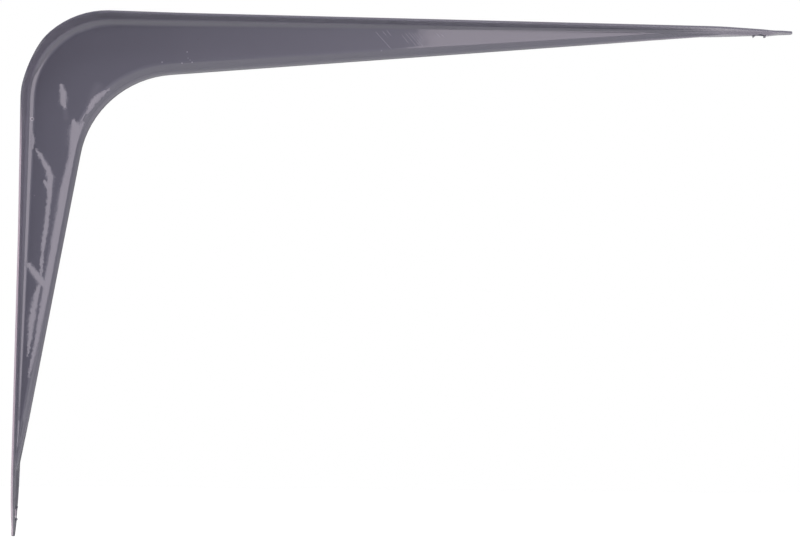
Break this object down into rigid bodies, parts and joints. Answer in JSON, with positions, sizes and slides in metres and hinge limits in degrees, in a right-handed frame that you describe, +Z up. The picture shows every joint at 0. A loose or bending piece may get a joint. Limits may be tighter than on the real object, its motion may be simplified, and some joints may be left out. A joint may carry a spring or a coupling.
{
  "type": "shelf bracket",
  "caption": "Pressed steel shelf bracket: an L with a hollow folded rib and tapering screw flanges, fixed to a wall to carry a shelf.",
  "frame": {"origin": "where the wall plane, the plane under the shelf and the bracket's middle plane meet, at the corner that its bend rounds off", "axes": "+X along the shelf arm, away from the wall; +Z up, out of the face that carries the shelf; +Y across the flanges, towards the side that has the second screw hole of each arm"},
  "size_m": [0.3, 0.03, 0.2],
  "materials": {
    "grey_paint": "glossy grey paint with a slight purple cast, thick and a little wavy"
  },
  "bodies": {
    "root": {"bracket": "grey_paint"}
  },
  "joints": []
}
